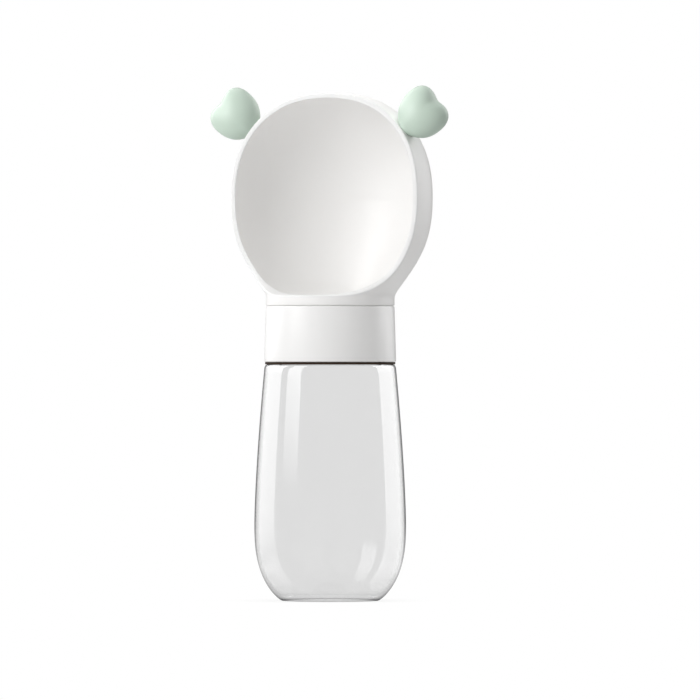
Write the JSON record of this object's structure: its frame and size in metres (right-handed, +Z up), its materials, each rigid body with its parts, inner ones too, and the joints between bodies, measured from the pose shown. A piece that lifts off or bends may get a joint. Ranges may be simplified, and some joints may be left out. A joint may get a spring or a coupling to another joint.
{
  "type": "dog travel water bottle",
  "caption": "Clear travel water bottle for dogs with a white screw cap and a scoop drinking bowl that turns on the cap as a rotary valve, with heart-shaped ears.",
  "frame": {"origin": "middle of the bottle's flat base, on the bottle's axis", "axes": "+Z up along the bottle's axis, the bowl's open side faces -Y, +X towards the right ear as seen from the open side"},
  "size_m": [0.1086, 0.0681, 0.2189],
  "materials": {
    "clear_bottle": "clear blown plastic",
    "dark_seal": "matte rubber",
    "silicone": "milky silicone",
    "white_shell": "satin moulded plastic",
    "white_inner": "plain moulded plastic",
    "steel": "stainless steel",
    "mint_plastic": "satin moulded plastic"
  },
  "bodies": {
    "bottle": {"bottle_body": "clear_bottle", "shoulder_seal": "dark_seal"},
    "gasket": {"mouth_gasket": "silicone"},
    "collar": {"collar_sleeve": "white_shell", "cap_core": "white_inner", "port_seals": "silicone"},
    "head": {"valve_rotor": "white_inner", "rotor_oring": "dark_seal", "pivot_screw": "steel", "pivot_washer": "steel", "bowl_head": "white_shell", "outlet_grommet": "silicone", "return_grommet": "silicone", "ear_left": "mint_plastic", "ear_right": "mint_plastic"}
  },
  "joints": [
    {"name": "cap_lift", "type": "slide", "parent": "bottle", "child": "gasket", "axis": [0, 0, 1], "range_m": [0, 0.008]},
    {"name": "cap_unscrew", "type": "hinge", "parent": "gasket", "child": "collar", "pos_m": [0, 0, 0.108], "axis": [0, 0, 1], "range_deg": [0, 360]},
    {"name": "head_turn", "type": "hinge", "parent": "collar", "child": "head", "pos_m": [0, 0, 0.12], "axis": [0, 0, 1], "range_deg": [0, 90]}
  ],
  "couplings": [
    {"joint": "cap_unscrew", "follows": "cap_lift", "rad_per_m": 785.4}
  ]
}
